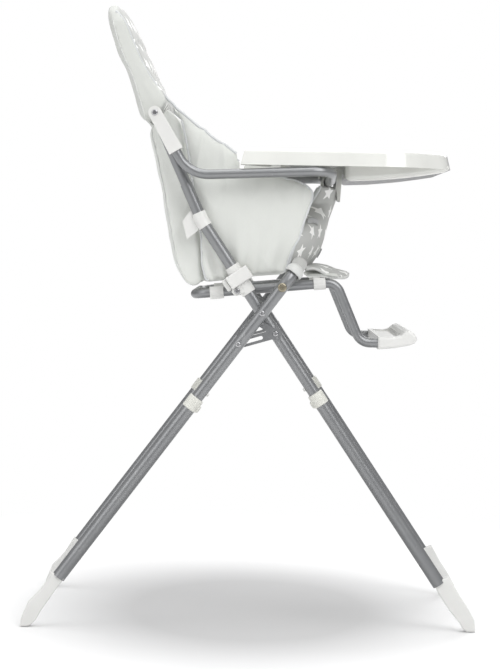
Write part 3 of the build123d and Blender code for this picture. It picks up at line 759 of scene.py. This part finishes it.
def crotch_place(u, v):
    t = u * 2 - 1
    fy, fz = curve_at(MID_FRONT, v)
    ry, rz = curve_at(MID_REAR, v)
    share = abs(t) ** 2.2
    x = t * panel_half(v)
    ripple = 0.0022 * sin(x * 70 + v * 5) * (1 - abs(t)) + 0.0018 * noise.noise(Vector((x * 25, v * 6, 4)))
    return (x, mixed(fy, ry, share) + ripple, mixed(fz, rz, share))


def leg_path(steps):
    """The rear frame's top, from the right leg over the crossbar to the left leg."""
    c, s = cos(REAR_LINE), sin(REAR_LINE)
    points = []
    for k in range(int(steps * 0.36), steps + 1):
        a = pi / 2 * k / steps
        d = BEND_R * (1 - sin(a))
        points.append((-LEG_X + BEND_R * (1 - cos(a)), CROSS[0] - d * c, CROSS[1] - d * s))
    straight = int((LEG_X - BEND_R) * 2 / 6)
    for k in range(1, straight):
        points.append((-LEG_X + BEND_R + 2 * (LEG_X - BEND_R) * k / straight, *CROSS))
    return points + [(-x, y, z) for x, y, z in reversed(points[:steps - int(steps * 0.36) + 1])]


def sleeve():
    """A fabric tube round the rear frame's crossbar and its bends, with bound ends."""
    path = [Vector(p) * MM for p in leg_path(14)]
    rows, columns = len(path) - 1, 28

    def place(u, v):
        k = min(int(round(v * rows)), rows)
        ahead = (path[min(k + 1, rows)] - path[max(k - 1, 0)]).normalized()
        up = Vector((0, -sin(REAR_LINE), cos(REAR_LINE))) * -1
        out = ahead.cross(up).normalized()
        a = 2 * pi * u
        r = (SLEEVE_R + 0.7 * noise.noise(path[k] * 60) + 0.5 * sin(a * 3 + k * 0.35)) * MM
        return path[k] + out * cos(a) * r + up * sin(a) * r

    build = bmesh.new()
    net = [[build.verts.new(place(i / columns, j / rows)) for i in range(columns)] for j in range(rows + 1)]
    for j in range(rows):
        for i in range(columns):
            n = (i + 1) % columns
            build.faces.new((net[j][i], net[j][n], net[j + 1][n], net[j + 1][i]))
    bmesh.ops.recalc_face_normals(build, faces=build.faces)
    mesh = bpy.data.meshes.new("crossbar_sleeve")
    build.to_mesh(mesh)
    build.free()
    piece = linked("crossbar_sleeve", mesh, STAR_XZ)
    shell = piece.modifiers.new("shell", "SOLIDIFY")
    shell.thickness = 0.0014
    shell.offset = -1
    baked(piece)
    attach(piece, REAR)
    for side, row, step in (("right", 0, 1), ("left", rows, -1)):
        def band(u, v):
            """A slanted binding round the sleeve's end."""
            k = row + step * int(round(v * 3))
            ahead = (path[min(k + 1, rows)] - path[max(k - 1, 0)]).normalized() * step
            outward = (place(u, k / rows) - path[k]).normalized()
            slant = 0.006 * outward.x * (1 if side == "right" else -1)
            return place(u, k / rows) + outward * 0.0012 + ahead * slant

        edge = grid_piece(
            f"sleeve_end_{side}", band, columns, 3, PALE_BINDING, closed_u=True, thick=0.0022, edge=0.2)
        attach(edge, REAR)


def crotch_panel():
    piece = grid_piece("crotch_panel_cover", crotch_place, 72, 64, STAR_XZ, thick=0.009, edge=0.07)
    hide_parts("crotch_panel")
    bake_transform(piece)
    for side, edge_u in (("right", 0.0), ("left", 1.0)):
        run = [crotch_place(edge_u, v / 30) for v in range(2, 31)]
        edge = line_piece(f"crotch_binding_{side}", run, 0.0030, BINDING, None)
        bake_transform(edge)

    def tab(u, v):
        """A small tab that stands out in front of the panel."""
        root = Vector(crotch_place(0.5, 0.24 + 0.10 * u))
        return root + Vector((0.002 * (u - 0.5), 0.003 - 0.013 * v, -0.003 * v))

    def loop_on(u, v):
        """A webbing loop sewn to the panel's right edge."""
        k = 0.015 + 0.12 * u
        spots = ((k, 0.54), (k + 0.02, 0.54), (k, 0.58))
        here, beside, above = (Vector(crotch_place(*spot)) for spot in spots)
        out = (beside - here).cross(above - here).normalized()
        return here + Vector((0, 0, 0.009 * (v - 0.5))) + out * (0.006 + 0.004 * sin(pi * u))

    for name, shape in (("crotch_tab", tab), ("crotch_side_loop", loop_on)):
        extra = grid_piece(name, shape, 12, 8, WEBBING, thick=0.0022, edge=0.1)
        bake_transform(extra)
    bar_y, bar_z, hug = -0.1262, 0.7486, 0.0112

    def loop_place(u, v):
        """The panel's upper end, wrapped over the armrest's crossbar."""
        a = radians(mixed(205, -25, v))
        x = (u * 2 - 1) * 0.062
        drop = max(0.0, abs(v - 0.5) - 0.42) * 0.09
        return (x, bar_y + cos(a) * hug * 1.02, bar_z + sin(a) * hug - drop)

    loop = grid_piece("crotch_loop", loop_place, 40, 36, STAR_XZ, thick=0.0032, edge=0.05)
    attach(loop, ARM)


sleeve()
crotch_panel()


# ======================= harness =======================
STRAP = 25


def webbing(name, points, width, across, body, nodes=()):
    """A flat strap along points, with its width along a given direction."""
    points = dense([Vector(p) * MM for p in points], 0.008)
    half = Vector(across).normalized() * width * MM / 2

    def place(u, v):
        k = v * (len(points) - 1)
        low = min(int(k), len(points) - 2)
        return points[low].lerp(points[low + 1], k - low) + half * (u * 2 - 1)

    piece = grid_piece(name, place, 8, max(8, len(points)), WEBBING, thick=0.0019, edge=0.08)
    if nodes:
        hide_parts(*nodes)
    if body == FRONT:
        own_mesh(piece)
    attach(piece, body)


def harness():
    buckle_y, buckle_z = 8.0, 625.0
    for side, sign in (("right", -1), ("left", 1)):
        shoulder = [
            (sign * 60, 124, 806), (sign * 60, 112, 798), (sign * 59, 108, 780), (sign * 58, 100, 735),
            (sign * 56, 91, 690), (sign * 54, 85, 650), (sign * 52, 80, 622),
        ]
        nodes = ("shoulder_straps",) if sign < 0 else ()
        webbing(f"shoulder_strap_{side}", shoulder, STRAP, (1, 0, 0), FRONT, nodes)
        waist = [
            (sign * 150, 70, 606), (sign * 120, 55, 615), (sign * 80, 34, 623),
            (sign * 22, buckle_y + 4, buckle_z),
        ]
        nodes = ("waist_straps",) if sign < 0 else ()
        webbing(f"waist_strap_{side}", waist, STRAP, (0, 0.95, -0.15), SEAT, nodes)
    crotch = [(0, -52, 617), (0, -40, 620), (0, -26, 623), (0, -10, 624.5)]
    webbing("crotch_strap_cover", crotch, STRAP, (1, 0, 0), SEAT, ("crotch_strap",))


harness()

# ======================= floor, lights and camera =======================
# A painted shadow greys the floor's colour in an ellipse under the chair, with these half axes; the floor
# fades to white further out.
PAINTED_SHADOW_AXES, FADE = (0.62, 0.37), (0.45, 1.5)
SENSOR, IMAGE_HEIGHT, VIEW_REACH = 36.0, 669, 2400

def studio():
    mesh = bpy.data.meshes.new("floor")
    build = bmesh.new()
    bmesh.ops.create_grid(build, x_segments=8, y_segments=8, size=14.0)
    build.to_mesh(mesh)
    build.free()
    s = Shader("floor", (0.92, 0.92, 0.92), 0.6)
    s.material.cycles.emission_sampling = "NONE"
    s.rough(s.span(s.noise(3.0, 2.0), 0.3, 0.7, 0.55, 0.65))
    x, y, _ = s.split(s.place)
    reach = s.math("SQRT", s.math("ADD", s.math("MULTIPLY", x, x), s.math("MULTIPLY", y, y)))
    flat_x, flat_y = s.math("DIVIDE", x, PAINTED_SHADOW_AXES[0]), s.math("DIVIDE", y, PAINTED_SHADOW_AXES[1])
    squares = [s.math("MULTIPLY", part, part) for part in (flat_x, flat_y)]
    shadow_ellipse = s.math("SQRT", s.math("ADD", *squares))
    # Painted shadow: inside the ellipse under the chair, the floor's colour turns grey.
    s.colour(s.mix(s.span(shadow_ellipse, 0.55, 1.25, 0.0, 1.0), (0.50, 0.50, 0.50), (0.92, 0.92, 0.92)))
    glow = s.add("ShaderNodeEmission")
    blend = s.add("ShaderNodeMixShader")
    seen_ray = s.add("ShaderNodeLightPath").outputs["Is Camera Ray"]
    s.put(blend.inputs[0], s.math("MULTIPLY", s.span(reach, *FADE, 0.0, 1.0), seen_ray))
    s.put(blend.inputs[1], s.main.outputs[0])
    s.put(blend.inputs[2], glow.outputs[0])
    s.put(s.tree.nodes["Material Output"].inputs["Surface"], blend.outputs[0])
    floor = linked("floor", mesh, s.material)
    floor.location.z = -0.0005

    world = bpy.data.worlds.new("studio")
    bpy.context.scene.world = world
    world.use_nodes = True
    tree = world.node_tree
    tree.nodes.clear()
    out = tree.nodes.new("ShaderNodeOutputWorld")
    seen = tree.nodes.new("ShaderNodeBackground")
    seen.inputs["Color"].default_value = (1, 1, 1, 1)
    seen.inputs["Strength"].default_value = 1.0
    lit = tree.nodes.new("ShaderNodeBackground")
    lit.inputs["Strength"].default_value = 0.85
    place = tree.nodes.new("ShaderNodeTexCoord")
    axes = tree.nodes.new("ShaderNodeSeparateXYZ")
    ramp = tree.nodes.new("ShaderNodeValToRGB")
    stops = ramp.color_ramp.elements
    stops[0].position, stops[0].color = 0.0, (0.30, 0.30, 0.31, 1)
    stops[1].position, stops[1].color = 1.0, (1.0, 1.0, 1.0, 1)
    middle = stops.new(0.55)
    middle.color = (0.62, 0.62, 0.63, 1)
    rays = tree.nodes.new("ShaderNodeLightPath")
    mix = tree.nodes.new("ShaderNodeMixShader")
    links = (
        (place.outputs["Generated"], axes.inputs[0]), (axes.outputs[2], ramp.inputs[0]),
        (ramp.outputs[0], lit.inputs["Color"]), (rays.outputs["Is Camera Ray"], mix.inputs[0]),
        (lit.outputs[0], mix.inputs[1]), (seen.outputs[0], mix.inputs[2]), (mix.outputs[0], out.inputs[0]),
    )
    for start, end in links:
        tree.links.new(start, end)

    lamps = (
        ("key", (-3.2, -2.0, 3.4), 3.0, 95), ("fill", (-3.0, 3.0, 2.2), 3.0, 45),
        ("top", (0.0, 0.0, 4.0), 3.5, 70), ("rim", (3.0, -1.0, 2.5), 2.5, 40),
    )
    aim = Vector((0, 0, 0.6))
    for name, position, size, power in lamps:
        data = bpy.data.lights.new(name, "AREA")
        data.size = size
        data.energy = power
        lamp = bpy.data.objects.new(name, data)
        bpy.context.scene.collection.objects.link(lamp)
        lamp.location = position
        lamp.rotation_euler = (aim - Vector(position)).to_track_quat("-Z", "Y").to_euler()


def camera():
    data = bpy.data.cameras.new("camera")
    view = bpy.data.objects.new("camera", data)
    bpy.context.scene.collection.objects.link(view)
    stand, target = Vector((-4.2, -0.0118, 0.639)), Vector((0, 0.0065, 0.482))
    view.location = stand
    roll = Quaternion((0, 0, 1), radians(1.0))
    view.rotation_euler = ((target - stand).to_track_quat("-Z", "Y") @ roll).to_euler()
    data.sensor_width = SENSOR
    data.lens = SENSOR * VIEW_REACH / IMAGE_HEIGHT
    data.clip_end = 100
    bpy.context.scene.camera = view


studio()
camera()
bpy.context.scene.view_settings.view_transform = "Standard"
